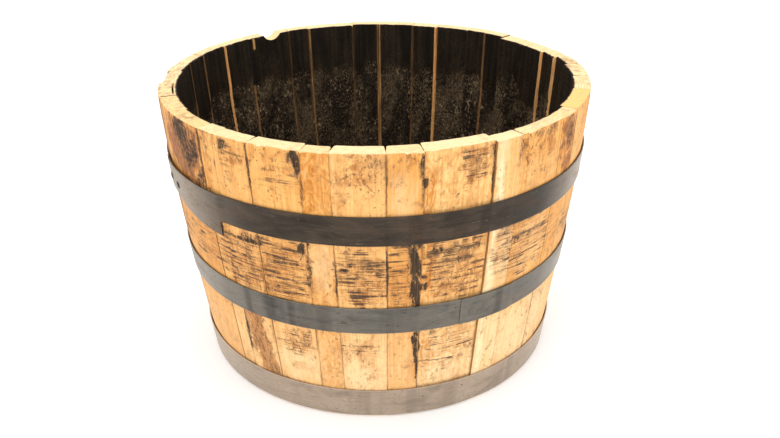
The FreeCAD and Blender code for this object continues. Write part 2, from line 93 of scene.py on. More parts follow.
# Marks on the outside: theta from and to, height from and to in mm, and how strong. dark is black dirt or
# mould, amber is tannin and rust, brown is old grime, pale is clean bleached wood, and scrape is a patch of
# scratches across the grain.
MARKS = {
    "dark": [
        (-61.5, -47.2, 345, 448, 0.46), (-60.5, -49, 392, 446, 0.8), (-56, -46.6, 362, 425, 0.74),
        # The entry from -80 to -66 darkens the outside at its left edge below the rim, where it turns away
        # from the front.
        (-49.8, -46.2, 345, 375, 0.7), (-80, -66, 345, 445, 0.5), (-46.8, -45.4, 352, 440, 0.85),
        (-45, -42, 408, 438, 0.4), (-39.5, -35.5, 420, 438, 0.7), (-38.5, -36, 412, 421, 0.5),
        (-34, -31.5, 408, 424, 0.35), (-30.7, -29.9, 370, 438, 0.85), (-20.2, -16.9, 418, 441, 0.72),
        (-18.6, -16.8, 398, 436, 0.85), (-17.5, -16.6, 352, 402, 0.5), (-1.5, 2.2, 415, 438, 0.5),
        (1.7, 2.4, 352, 438, 0.55), (9.3, 10.8, 400, 444, 0.74), (9.7, 10.9, 345, 425, 0.62),
        (10.2, 11.7, 382, 402, 0.95), (21, 27.5, 398, 418, 0.4), (25.5, 28, 410, 440, 0.42),
        (27.2, 28.2, 352, 438, 0.75), (34.3, 35.6, 385, 438, 0.5), (36, 49.5, 424, 442, 0.46),
        (57.4, 58.6, 352, 438, 0.7), (52, 57.8, 380, 446, 0.52), (-13, 1, 425, 439, 0.28),
        (-41.8, -28.5, 285, 293, 0.8), (-36, -32, 290, 303, 0.62), (-31.4, -28.2, 290, 306, 0.68),
        (-20.4, -16.6, 282, 312, 0.85), (-18.2, -16.2, 225, 296, 0.62), (-9.7, -6.3, 263, 270, 0.95),
        (-10.6, -9.9, 208, 300, 0.7), (1.7, 2.5, 208, 306, 0.85), (8, 10.7, 190, 325, 1),
        (6.9, 10.9, 262, 318, 0.75), (-10, -3, 288, 301, 0.42), (9.6, 12.8, 225, 241, 0.95),
        (9.6, 12.4, 246, 256, 0.75), (12, 17, 283, 296, 0.72), (21, 28, 280, 291, 0.7),
        (13, 26, 262, 276, 0.5), (33, 45, 272, 287, 0.55), (31, 35.2, 290, 306, 0.45),
        (8.8, 11, 92, 172, 0.95), (9.9, 10.8, 66, 110, 1), (-41.4, -39.7, 70, 170, 0.88),
        (13, 16, 146, 160, 0.5), (27.4, 28, 60, 160, 0.3), (-17.4, -16.6, 120, 160, 0.5),
        (50, 58, 130, 158, 0.35), (150, 158, 350, 420, 0.5), (120.5, 122, 60, 300, 0.6),
        (203, 206, 210, 300, 0.7), (185, 189, 60, 150, 0.6), (247, 250, 210, 430, 0.6),
        (262, 270, 380, 430, 0.4), (96, 99, 210, 300, 0.6), (86.5, 90, 360, 430, 0.4),
        (286, 289, 60, 300, 0.5),
    ],
    "amber": [
        (-66, -45.8, 345, 448, 0.8), (-47, -43, 348, 392, 0.75), (-17.4, -13.4, 330, 455, 1),
        (-14.5, -10.6, 340, 455, 0.22), (10.4, 13.2, 340, 418, 0.9), (50.6, 58.2, 335, 455, 0.75),
        (10.4, 14, 192, 325, 1), (26, 27.8, 352, 440, 0.4), (7, 10.4, 352, 440, 0.35),
        (-10.2, -5, 350, 372, 0.35), (9, 13.5, 60, 160, 0.6), (66, 73, 380, 440, 0.5),
        (-43, -39, 205, 300, 0.25), (40, 50, 352, 438, 0.25), (150, 160, 210, 300, 0.6),
        (218, 226, 352, 430, 0.5), (128, 134, 60, 160, 0.4), (270, 276, 352, 430, 0.6),
        # The entry from -73 to -60 turns the outside amber at its left edge below the rim, where it turns
        # away from the front.
        (-73, -60, 352, 430, 0.4),
    ],
    "brown": [
        (-66, -45.5, 340, 450, 1.2), (-46, -39, 380, 445, 0.6), (-40, -30.5, 395, 445, 0.5),
        (-30, -17, 395, 447, 0.55), (-10, 2, 372, 447, 0.6), (2.5, 9.5, 405, 445, 0.4),
        (17.5, 28, 385, 445, 0.42), (3, 10.2, 424, 450, 0.55), (33, 51, 396, 450, 0.65),
        (50.8, 58, 335, 460, 0.95), (-44, -16.5, 190, 300, 0.45), (-10.2, 1.8, 195, 292, 0.42),
        (11, 27.8, 205, 300, 0.5), (2.1, 10, 205, 280, 0.4), (-40.8, -33, 70, 185, 1.3),
        (-38, -31, 30, 130, 1.25), (-28, -18, 108, 158, 0.5), (-14, 0, 105, 150, 0.45),
        (58.5, 74, 352, 438, 0.35), (33, 50, 250, 292, 0.3), (100, 130, 350, 436, 0.4),
        (160, 200, 215, 300, 0.45), (230, 262, 352, 436, 0.45), (275, 298, 215, 300, 0.4),
        (80, 96, 60, 158, 0.3), (75, 106, 432, 450, 0.8), (-112, -62, 434, 448, 0.75),
        (-60, -30, 436, 448, 0.45),
    ],
    "pale": [
        (28.2, 30.9, -60, 520, 1), (30, 62, 45, 165, 0.55), (-30, -17, 55, 112, 0.4),
        (36, 50, 345, 402, 0.15), (30.5, 35.4, 200, 315, 0.5), (36, 50, 205, 312, 0.25),
        (-10, 2, 50, 105, 0.35), (3, 9, 345, 405, 0.3), (12, 26, 52, 95, 0.35),
        (-16.8, -11, 215, 310, 0.35), (175, 186, 50, 165, 0.4), (240, 247, 345, 440, 0.5),
    ],
    "scrape": [
        (-60, -40.5, 212, 296, 0.75), (-44, -30, 190, 296, 1.1), (-30.5, -16.5, 195, 312, 1.15),
        (-10.6, 2.4, 200, 302, 1), (1.8, 8.5, 205, 308, 0.9), (10.5, 28, 200, 310, 0.95),
        (28, 52, 215, 310, 0.9), (-40, -30.3, 385, 442, 0.45), (-30, -17, 355, 435, 0.4),
        (18, 27.5, 378, 438, 0.55), (-30, -17, 100, 158, 0.55), (-13, 0.5, 112, 146, 0.58),
        (11, 28, 80, 158, 0.7), (36, 50, 360, 425, 0.3), (50, 74, 212, 300, 0.5), (90, 150, 212, 300, 0.7),
        (160, 240, 215, 298, 0.8), (255, 300, 212, 300, 0.7),
    ],
}

# Each hoop: theta of its first end, the lap behind it (+ runs towards +X), how far back the strip starts to
# slant, how far its first end hangs low, whether that end is tucked under the other, and its finish. The
# lower hoops get paler finishes, partly for their own tone and partly as a painted reflection of the pale
# floor.
HOOPS = {
    "bilge_hoop": (-42.0, -30.0, 36.0, 0.024, True, "dark"),
    "quarter_hoop": (21.5, 15.0, 18.0, 0.0, False, "grey"),
    "head_hoop": (160.0, 15.0, 18.0, 0.0, False, "pale"),
}
JOGGLE = 2.4                        # degrees in which a strip climbs over its other end
END_GAP = 0.3                       # degrees by which a strip ends short
STAND_OFF = 0.0002                  # how far a lapped end stands clear of the one below
# Darker bands across each hoop: theta, half of the width in degrees, and how strong.
HOOP_SHADES = {
    "bilge_hoop": [(18.5, 3, 0.2), (-66, 4, 0.3), (118, 5, 0.5), (205, 4, 0.5)],
    "quarter_hoop": [
        (-37, 1.3, 0.7), (-29.5, 2.4, 0.7), (-23.5, 1, 0.6), (-14, 2, 0.45), (33, 1.5, 0.5), (96, 3, 0.6),
        (172, 2, 0.5), (240, 3, 0.6),
    ],
    "head_hoop": [(-8, 1.5, 0.1), (44, 2, 0.15), (130, 3, 0.4), (222, 2, 0.4)],
}


# ---------------------------------------------------------------- repeatable noise
def hashed(cell, seed):
    """A number from 0 to 1 for each lattice point, the same every run. cell is (..., 3) whole numbers."""
    x, y, z = (cell[..., i].astype(np.uint64) for i in range(3))
    n = x * np.uint64(73856093) ^ y * np.uint64(19349663) ^ z * np.uint64(83492791)
    n = n ^ np.uint64(seed * 2654435761 % 2 ** 32)
    n = (n ^ (n >> np.uint64(15))) * np.uint64(2246822519) & np.uint64(0xFFFFFFFF)
    n = (n ^ (n >> np.uint64(13))) * np.uint64(3266489917) & np.uint64(0xFFFFFFFF)
    return ((n ^ (n >> np.uint64(16))) & np.uint64(0xFFFFFF)).astype(float) / 0xFFFFFF


def random_for(number, salt):
    """A number from 0 to 1 that belongs to a part's number and a purpose."""
    return float(hashed(np.array([[number, salt, 0]]), 77)[0])


def noise(points, size, seed):
    """Smooth noise from -1 to 1 at (n, 3) points. size is the grain, one length or one for each axis."""
    scaled = points / np.asarray(size, float)
    cell = np.floor(scaled).astype(np.int64)
    part = scaled - cell
    part = part * part * (3.0 - 2.0 * part)
    total = np.zeros(len(points))
    for corner in np.ndindex(2, 2, 2):
        weight = np.prod(np.where(np.array(corner), part, 1.0 - part), axis=1)
        total += weight * hashed(cell + np.array(corner), seed)
    return 2.0 * total - 1.0


def fractal(points, size, seed, octaves=3):
    """Layers of noise, each half as coarse as the last."""
    size = np.asarray(size, float)
    shares = 0.55 ** np.arange(octaves)
    layers = [share * noise(points, size / 2 ** k, seed + k) for k, share in enumerate(shares)]
    return sum(layers) / shares.sum()


def blocks(points, size, seed):
    """Cells as in cracked char: how far each point is from the nearest crack, and its cell's number."""
    scaled = points / np.asarray(size, float)
    scaled[:, 2] = 0.0
    cell = np.floor(scaled).astype(np.int64)
    near = np.full(len(points), 9.0)
    second = near.copy()
    which = np.zeros(len(points))
    for dx, dy in np.ndindex(3, 3):
        there = cell + np.array([dx - 1, dy - 1, 0])
        spot_x = there[:, 0] + hashed(there, seed)
        spot_y = there[:, 1] + hashed(there, seed + 1)
        away = np.hypot(scaled[:, 0] - spot_x, scaled[:, 1] - spot_y)
        closer = away < near
        second = np.where(closer, near, np.minimum(second, away))
        which = np.where(closer, hashed(there, seed + 2), which)
        near = np.where(closer, away, near)
    return second - near, which


def smooth(low, high, value):
    """Rises from 0 at low to 1 at high, level at both ends."""
    part = np.clip((value - low) / (high - low), 0.0, 1.0)
    return part * part * (3.0 - 2.0 * part)


def fade(reach, value, full=0.0):
    """1 up to full, falling to 0 at reach."""
    return 1.0 - smooth(full, reach, value)


def angle_gap(theta, other):
    """From other to theta, as -180 to 180 degrees."""
    return (theta - other + 180.0) % 360.0 - 180.0


# ---------------------------------------------------------------- meshes from grids
OUTER, INNER, JOINT, END = range(4)


def shell_on_lines(across_lines, inward_lines, up_lines):
    """The closed surface of a block cut by these grid lines: where each point lies on the three axes, the
    quads, and the side that each quad is on."""
    nx, ny, nz = counts = [len(lines) - 1 for lines in (across_lines, inward_lines, up_lines)]
    lattice = np.stack(np.meshgrid(*(np.arange(c + 1) for c in counts), indexing="ij"), -1).reshape(-1, 3)
    on_skin = ((lattice == 0) | (lattice == np.array(counts))).any(axis=1)
    number = np.full(len(lattice), -1)
    number[on_skin] = np.arange(on_skin.sum())
    number = number.reshape(nx + 1, ny + 1, nz + 1)
    quads, sides = [], []
    faces = [(number[:, 0, :], OUTER, False), (number[:, ny, :], INNER, True),
             (number[0, :, :], JOINT, True), (number[nx, :, :], JOINT, False),
             (number[:, :, 0], END, True), (number[:, :, nz], END, False)]
    for sheet, side, turned in faces:
        a, b, c, d = sheet[:-1, :-1], sheet[1:, :-1], sheet[1:, 1:], sheet[:-1, 1:]
        quad = np.stack([a, b, c, d], -1).reshape(-1, 4)
        quads.append(quad[:, ::-1] if turned else quad)
        sides.append(np.full(len(quad), side))
    i, j, k = lattice[on_skin].T
    return across_lines[i], inward_lines[j], up_lines[k], np.concatenate(quads), np.concatenate(sides)


def vectors(*values):
    """Vectors, one for each point. A value is an array, or one number for all."""
    return np.stack(np.broadcast_arrays(*values), -1).astype(float)


def at_angle(theta, radius, height):
    angle = np.radians(theta)
    return np.stack([radius * np.sin(angle), -radius * np.cos(angle), height], -1)


def signed_volume(points, quads):
    a, b, c, d = (points[quads[:, i]] for i in range(4))
    return float((np.cross(b - a, c - a) * a).sum() + (np.cross(c - a, d - a) * a).sum())


def add_piece(name, points, quads, slots, materials, node, attributes, smooth_angle=50.0):
    """A mesh piece that stands for a CAD node. Faces are turned outwards as one closed surface."""
    if signed_volume(points, quads) < 0:
        quads = quads[:, ::-1]
    mesh = bpy.data.meshes.new(name)
    mesh.from_pydata(points.tolist(), [], quads.tolist())
    for material in materials:
        mesh.materials.append(material)
    mesh.polygons.foreach_set("material_index", np.asarray(slots, np.int32))
    for key, values in attributes.items():
        values = np.asarray(values, np.float32)
        kind, field = {1: ("FLOAT", "value"), 3: ("FLOAT_VECTOR", "vector"),
                       4: ("FLOAT_COLOR", "color")}[1 if values.ndim == 1 else values.shape[1]]
        mesh.attributes.new(key, kind, "POINT").data.foreach_set(field, values.ravel())
    mesh.update()
    piece = bpy.data.objects.new(name, mesh)
    bpy.context.scene.collection.objects.link(piece)
    mesh.shade_smooth()
    mesh.set_sharp_from_angle(angle=math.radians(smooth_angle))
    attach(piece, "root")
    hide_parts(node)


def graded(length, step, fine=(0.5, 1.2, 2.4, 4.2)):
    """Places from 0 to length, close together near both ends."""
    ends = [f * MM for f in fine if f * MM < 0.4 * length]
    inside = length - 2 * ends[-1]
    middle = ends[-1] + np.linspace(0.0, inside, max(2, int(round(inside / step)) + 1))
    return np.concatenate([[0.0], ends[:-1], middle, [length - e for e in reversed(ends[:-1])], [length]])


# ---------------------------------------------------------------- what the frame says about a stave
def polar(points):
    return np.degrees(np.arctan2(points[:, 0], -points[:, 1])), np.hypot(points[:, 0], points[:, 1])


def node_points(node):
    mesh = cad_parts[node].data
    points = np.zeros(len(mesh.vertices) * 3)
    mesh.vertices.foreach_get("co", points)
    return points.reshape(-1, 3)


CROZE_HEIGHT = sum(corner.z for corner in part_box("head_board_1")) / 2
HEAD_EDGE = max(polar(node_points(f"head_board_{n}"))[1].max() for n in BOARDS)


class Stave:
    """A stave's limits, read from its CAD solid: its two joint angles and its radii at any height."""

    def __init__(self, node):
        points = node_points(node)
        centre = points[:, :2].mean(axis=0)
        middle = math.degrees(math.atan2(centre[0], -centre[1]))
        theta, radius = polar(points)
        turned = angle_gap(theta, middle)
        self.start, self.end = middle + turned.min(), middle + turned.max()
        self.top = points[:, 2].max()
        edge = np.abs(turned - turned.min()) < 0.02
        height, radius = points[edge, 2], radius[edge]
        low, high = (radius[np.abs(height - z) < 1e-5] for z in (0.0, self.top))
        centre_line = np.interp(height, [0.0, self.top], [low.mean(), high.mean()])
        centre_line += 0.007 * np.sin(math.pi * height / self.top)
        inside = radius < centre_line
        in_croze = inside & (np.abs(height - CROZE_HEIGHT) < 0.006) & (radius > HEAD_EDGE)
        self.outer = self.line(height, radius, ~inside)
        self.inner = self.line(height, radius, inside & ~in_croze)
        self.croze = height[in_croze].min(), height[in_croze].max(), radius[in_croze].max()

    @staticmethod
    def line(height, radius, chosen):
        order = np.lexsort((radius[chosen], height[chosen].round(6)))
        return height[chosen][order], radius[chosen][order]

    def outer_at(self, z):
        return np.interp(z, *self.outer)

    def inner_at(self, z):
        low, high, deep = self.croze
        return np.where((z > low) & (z < high), deep, np.interp(z, *self.inner))


def mark_density(kind, theta, z, warp_across, warp_up, ragged):
    """How much of one kind of mark lies at each place. Its patches are rounded, and their edges wander."""
    total = np.zeros(len(theta))
    for start, end, low, high, strength in MARKS[kind]:
        half_wide = math.radians(end - start) / 2 * OUTSIDE_RADIUS
        half_tall = (high - low) / 2 * MM
        along = np.radians(angle_gap(theta, (start + end) / 2)) * OUTSIDE_RADIUS
        along = along + warp_across * min(0.008, 0.75 * half_wide)
        up = z - (low + high) / 2 * MM + warp_up * min(0.012, 0.75 * half_tall)
        away = (np.abs(along / half_wide) ** 2.6 + np.abs(up / half_tall) ** 2.6) ** (1 / 2.6)
        total = np.maximum(total, strength * fade(1.35, away + 0.45 * ragged, full=0.5))
    return total


# ---------------------------------------------------------------- materials
class Value:
    """What a shader's node gives. It can be added to, subtracted from and multiplied by another, or by a
    plain value."""

    def __init__(self, shader, socket):
        self.shader, self.socket = shader, socket

    def __add__(self, other):
        return self.shader.math("ADD", self, other)

    def __sub__(self, other):
        return self.shader.math("SUBTRACT", self, other)

    def __rsub__(self, other):
        return self.shader.math("SUBTRACT", other, self)

    def __mul__(self, other):
        return self.shader.math("MULTIPLY", self, other)

    def band(self, low, high, to_low=0.0, to_high=1.0):
        """Takes low..high to to_low..to_high smoothly, and holds the ends."""
        inputs = {"Value": self, "From Min": low, "From Max": high, "To Min": to_low, "To Max": to_high}
        return self.shader.node("ShaderNodeMapRange", inputs, "Result", interpolation_type="SMOOTHSTEP")


class Shader:
    """A material's nodes, made in short steps from values. place is where textures are looked up, and
    colour is what is painted so far."""

    def __init__(self, name):
        self.material = bpy.data.materials.new(name)
        self.material.use_nodes = True
        self.tree = self.material.node_tree
        self.surface = self.tree.nodes["Principled BSDF"]

    def connect(self, value, socket):
        if isinstance(value, Value):
            self.tree.links.new(value.socket, socket)
        else:
            socket.default_value = value

    def node(self, kind, inputs, output, **settings):
        """Makes a node, and returns the output of that name or number."""
        made = self.tree.nodes.new(kind)
        for key, value in settings.items():
            setattr(made, key, value)
        for key, value in inputs.items():
            self.connect(value, made.inputs[key])
        return Value(self, made.outputs[output])

    def attribute(self, name, output="Fac"):
        return self.node("ShaderNodeAttribute", {}, output, attribute_name=name)

    def parts(self, name):
        """The three channels of a colour attribute, and its alpha."""
        colour = self.attribute(name, "Color")
        split = self.node("ShaderNodeSeparateColor", {"Color": colour}, 0)
        outputs = [*split.socket.node.outputs, colour.socket.node.outputs["Alpha"]]
        return [Value(self, output) for output in outputs]

    def stretched(self, scale):
        return self.node("ShaderNodeVectorMath", {0: self.place, 1: scale}, 0, operation="MULTIPLY")

    def noise(self, scale, detail, rough, distortion=0.0):
        """Noise from 0 to 1. scale gives cycles for each metre along the place's three axes."""
        inputs = {"Vector": self.stretched(scale), "Scale": 1.0, "Detail": detail, "Roughness": rough,
                  "Distortion": distortion}
        return self.node("ShaderNodeTexNoise", inputs, "Fac")

    def cells(self, scale):
        return self.node("ShaderNodeTexVoronoi", {"Vector": self.stretched(scale), "Scale": 1.0}, "Distance")

    def math(self, operation, a, b, clamp=False):
        return self.node("ShaderNodeMath", {0: a, 1: b}, 0, operation=operation, use_clamp=clamp)

    def colours(self, value, *stops):
        made = self.node("ShaderNodeValToRGB", {"Fac": value}, "Color")
        ramp = made.socket.node.color_ramp
        while len(ramp.elements) < len(stops):
            ramp.elements.new(0.5)
        for element, (place, colour) in zip(ramp.elements, stops):
            element.position = place
            element.color = (*colour, 1.0)
        return made

    def mix(self, amount, a, b, blend="MIX"):
        a, b = (colour if isinstance(colour, Value) else (*colour, 1.0) for colour in (a, b))
        inputs = {0: amount, 6: a, 7: b}
        return self.node("ShaderNodeMix", inputs, 2, data_type="RGBA", blend_type=blend)

    def paint(self, amount, over, blend="MIX"):
        """Lays a colour over what is painted so far."""
        self.colour = self.mix(amount, self.colour, over, blend)

    def bump(self, height, distance):
        inputs = {"Height": height, "Distance": distance, "Strength": 1.0}
        return self.node("ShaderNodeBump", inputs, "Normal")

    def finish(self, roughness, normal=None, specular=0.25, metallic=0.0):
        inputs = {"Base Color": self.colour, "Roughness": roughness, "Metallic": metallic,
                  "Specular IOR Level": specular}
        if normal is not None:
            inputs["Normal"] = normal
        for key, value in inputs.items():
            self.connect(value, self.surface.inputs[key])
        return self.material


def grained(name):
    """A shader whose textures follow the piece's grain."""
    s = Shader(name)
    s.place = s.attribute("grain", "Vector")
    return s


def oak_outside():
    """Bare oak with its grain, weathering and handling marks."""
    s = grained("oak_outside")
    tint, warmth, level, figure = s.parts("tint")
    dark, amber, brown, scrape = s.parts("stain")
    rings = s.noise((140, 140, 4.5), 3, 0.5, 1.8)
    fibres = s.noise((1500, 1500, 40), 3, 0.6)
    curl = s.noise((70, 70, 42), 3, 0.55, 2.6)
    grain = rings * 0.62 + fibres * 0.38 + (curl - 0.5) * figure
    s.colour = s.colours(grain, (0.28, (0.56, 0.235, 0.052)), (0.42, (0.74, 0.345, 0.085)),
                         (0.54, (0.87, 0.428, 0.11)), (0.72, (0.94, 0.535, 0.168)))
    pale = s.colours(grain, (0.3, (0.78, 0.45, 0.185)), (0.5, (0.92, 0.61, 0.3)), (0.7, (0.97, 0.74, 0.44)))
    s.paint(tint, pale)
    s.paint(warmth * 0.7, (0.62, 0.245, 0.045))
    s.paint(level * 0.5, (0.4, 0.2, 0.078))
    clean = s.attribute("pale") * s.noise((160, 160, 16), 4, 0.6).band(0.3, 0.52, 0.4, 1.0)
    s.paint(clean * 0.85, (0.98, 0.775, 0.47))
    # Soft discoloured patches, and small brown blots, lie over all of it.
    blotch = s.noise((30, 30, 17), 5, 0.62, 0.8)
    s.paint(blotch.band(0.5, 0.7, 0, 0.46), (0.5, 0.225, 0.068))
    mottle = s.noise((70, 70, 62), 6, 0.74, 0.4)
    s.paint(mottle.band(0.545, 0.67, 0, 0.58), (0.31, 0.15, 0.055))
    gathered = s.noise((34, 34, 26), 3, 0.6).band(0.44, 0.6)
    blots = s.noise((190, 190, 120), 4, 0.66, 0.6).band(0.585, 0.66) * gathered
    s.paint(blots * 0.75, (0.15, 0.075, 0.032))
    s.paint(s.noise((2600, 2600, 120), 2, 0.5).band(0.6, 0.72, 0, 0.45), (0.33, 0.15, 0.05))
    # Rays of the oak: short pale flecks across the grain.
    s.paint(s.noise((240, 240, 75), 2, 0.5, 0.4).band(0.64, 0.72, 0, 0.28), (0.92, 0.66, 0.36))
    # Amber runs along the grain, and old grime lies in soft clouds.
    runs = s.noise((150, 150, 22), 4, 0.6, 1.0).band(0.34, 0.62, 0.25, 1.0)
    swirls = curl.band(0.5, 0.6) * figure
    runs = runs * (1.0 - swirls * 0.62)
    amber_wood = s.colours(grain, (0.3, (0.46, 0.15, 0.015)), (0.6, (0.71, 0.27, 0.034)))
    s.paint(amber * runs * 0.95, amber_wood)
    cloud = s.noise((85, 85, 44), 6, 0.72, 0.8)
    soft = s.noise((40, 40, 26), 5, 0.7, 0.6)
    grime = (brown + (soft - 0.5) * 4.0).band(0.3, 1.15) * brown.band(0.02, 0.4)
    s.paint(grime * 0.85, (0.52, 0.37, 0.26), "MULTIPLY")
    flecks = (s.noise((230, 230, 125), 5, 0.7, 0.5) + grime * 0.05).band(0.56, 0.62)
    flecks = flecks * (brown + cloud).band(0.62, 1.0)
    s.paint(flecks * 0.72, (0.13, 0.066, 0.03))
    # Scrapes run across the grain: lines of dirt, broken up, on a browned ground.
    ground = s.noise((18, 18, 95), 5, 0.66).band(0.38, 0.58) * scrape
    s.paint(ground * 0.46, (0.73, 0.52, 0.34), "MULTIPLY")
    more = scrape * 0.055
    broken = s.noise((48, 48, 36), 5, 0.68).band(0.4, 0.52)
    lines = (s.noise((13, 13, 200), 5, 0.72) + more).band(0.565, 0.63)
    scratch = lines * broken * scrape.band(0.1, 0.6)
    hair = (s.noise((22, 22, 520), 4, 0.66) + more).band(0.56, 0.64)
    hair = hair * scrape.band(0.1, 0.8) * cloud.band(0.36, 0.52)
    s.paint(hair * 0.76, (0.14, 0.068, 0.027))
    s.paint(scratch * 0.93, (0.056, 0.034, 0.021))
    # Black marks: soot and mould, ragged at their edges.
    ragged = s.noise((300, 300, 150), 6, 0.75, 0.6) * 0.7 + cloud * 0.5
    black = dark + (ragged - 0.62) * 2.8
    halo = black.band(0.05, 0.7) * dark.band(0.02, 0.3)
    s.paint(halo * 0.55, (0.2, 0.105, 0.05))
    black = black.band(0.45, 0.8) * dark.band(0.02, 0.25)
    soot = s.mix(fibres.band(0.42, 0.62), (0.016, 0.011, 0.008), (0.075, 0.045, 0.024))
    s.paint(black * 0.95, soot)
    # Dirt packed into the joint's edge.
    packed = s.attribute("edge") * s.noise((300, 300, 22), 4, 0.6).band(0.34, 0.62)
    s.paint(packed * 0.8, (0.1, 0.048, 0.022))
    relief = fibres + rings * 1.2 - scratch * 0.7
    return s.finish(black.band(0.0, 1.0, 0.62, 0.8), s.bump(relief, 0.00022))


def oak_end():
    """Sawn end grain: growth rings, rays and saw marks, with char along the inner edge."""
    s = grained("oak_end_grain")
    tint, warmth, _, _ = s.parts("tint")
    rings = s.noise((120, 700, 20), 3, 0.6, 0.6)
    pores = s.noise((1500, 1900, 40), 2, 0.5)
    saw = s.noise((900, 60, 0), 2, 0.6)
    s.colour = s.colours(rings, (0.3, (0.74, 0.48, 0.22)), (0.46, (0.91, 0.65, 0.33)),
                         (0.66, (0.98, 0.79, 0.48)))
    s.paint(tint * 0.4, (0.98, 0.8, 0.49))
    s.paint(warmth * 0.5, (0.72, 0.4, 0.13))
    s.paint(s.attribute("warm_end") * 0.8, (0.93, 0.53, 0.15))
    s.paint(s.noise((60, 60, 10), 4, 0.65).band(0.56, 0.7, 0, 0.3), (0.42, 0.27, 0.155))
    s.paint(pores.band(0.6, 0.74, 0, 0.55), (0.4, 0.24, 0.11))
    s.paint(saw.band(0.58, 0.74, 0, 0.24), (0.5, 0.32, 0.16))
    dark, _, brown, _ = s.parts("stain")
    patch = s.noise((75, 75, 10), 5, 0.68, 0.8).band(0.42, 0.66)
    s.paint(brown * patch, (0.4, 0.235, 0.115))
    s.paint(dark * patch, (0.1, 0.07, 0.05))
    burnt = s.attribute("burnt")
    s.paint(burnt.band(0.25, 0.6, 0, 0.8), (0.22, 0.12, 0.06))
    s.paint(burnt.band(0.55, 0.85), (0.018, 0.014, 0.011))
    return s.finish(0.72, s.bump(saw - pores * 0.5, 0.0003))


def oak_joint():
    """The faces between staves: tan where the fire never reached, black elsewhere near the inside."""
    s = grained("oak_joint")
    fibres = s.noise((900, 900, 30), 4, 0.6)
    patches = s.noise((60, 60, 22), 4, 0.6)
    bare = s.parts("charred")[2]
    s.colour = s.colours(fibres, (0.3, (0.17, 0.082, 0.03)), (0.5, (0.33, 0.17, 0.062)),
                         (0.7, (0.47, 0.265, 0.105)))
    clean = s.colours(fibres, (0.3, (0.7, 0.36, 0.115)), (0.5, (0.9, 0.5, 0.185)),
                      (0.7, (0.98, 0.62, 0.27)))
    s.paint(patches.band(0.5, 0.68, 0, 0.6), (0.11, 0.058, 0.026))
    clean = s.mix(patches.band(0.5, 0.68, 0, 0.35), clean, (0.3, 0.15, 0.055))
    s.paint(bare.band(0.8, 1.0), clean)
    burnt = s.attribute("burnt") - patches * 0.35
    s.paint(burnt.band(0.3, 0.62), (0.016, 0.012, 0.01))
    return s.finish(0.75, s.bump(fibres, 0.0002))


def char():
    """Charred oak: soft black, with ash in the cracks and glossy flakes, whose light specks are partly ash
    and partly painted glints.
    """
    s = grained("char")
    rough_char, _, bare, _ = s.parts("charred")
    fine = s.noise((420, 420, 260), 6, 0.7)
    tiny = s.cells((300, 300, 210))
    patches = s.noise((24, 24, 13), 5, 0.65)
    fibres = s.noise((900, 900, 22), 3, 0.6)
    s.colour = s.colours(fine, (0.32, (0.0045, 0.0028, 0.0014)), (0.52, (0.0125, 0.0082, 0.0044)),
                         (0.7, (0.042, 0.029, 0.017)))
    drips = s.noise((150, 150, 6), 4, 0.6).band(0.4, 0.66)
    sooty = s.mix(drips, (0.006, 0.0038, 0.002), (0.02, 0.013, 0.0072))
    s.colour = s.mix(rough_char, sooty, s.colour)
    ash = fine.band(0.5, 0.66) * patches.band(0.4, 0.62) * rough_char.band(0.1, 0.9, 0.03, 1.0)
    s.paint(ash, (0.22, 0.148, 0.082))
    clouds = s.noise((17, 17, 9), 5, 0.66).band(0.44, 0.62) * fine.band(0.4, 0.6, 0.15, 0.9)
    s.paint(clouds * rough_char, (0.15, 0.1, 0.055))
    # Light specks on the flakes of the lower char: partly ash, partly painted glints where the flakes catch
    # the light.
    here = s.noise((21, 21, 15), 5, 0.68).band(0.44, 0.57)
    flakes = s.noise((125, 125, 105), 6, 0.76, 0.5)
    specks_and_glints = flakes.band(0.565, 0.61) * here * rough_char.band(0.2, 0.9, 0.02, 1.0)
    s.paint(specks_and_glints * 0.82, (0.37, 0.26, 0.15))
    wood = s.mix(bare.band(0.75, 1.0), (0.24, 0.115, 0.04), (0.68, 0.35, 0.125))
    s.paint(bare * fibres.band(0.34, 0.56, 0.35, 0.9), wood)
    relief = s.bump(fine + tiny * 0.6 + fibres * 0.25, rough_char.band(0.0, 1.0, 0.0002, 0.0011))
    return s.finish(fine.band(0.35, 0.7, 0.7, 0.42), relief, specular=0.11)


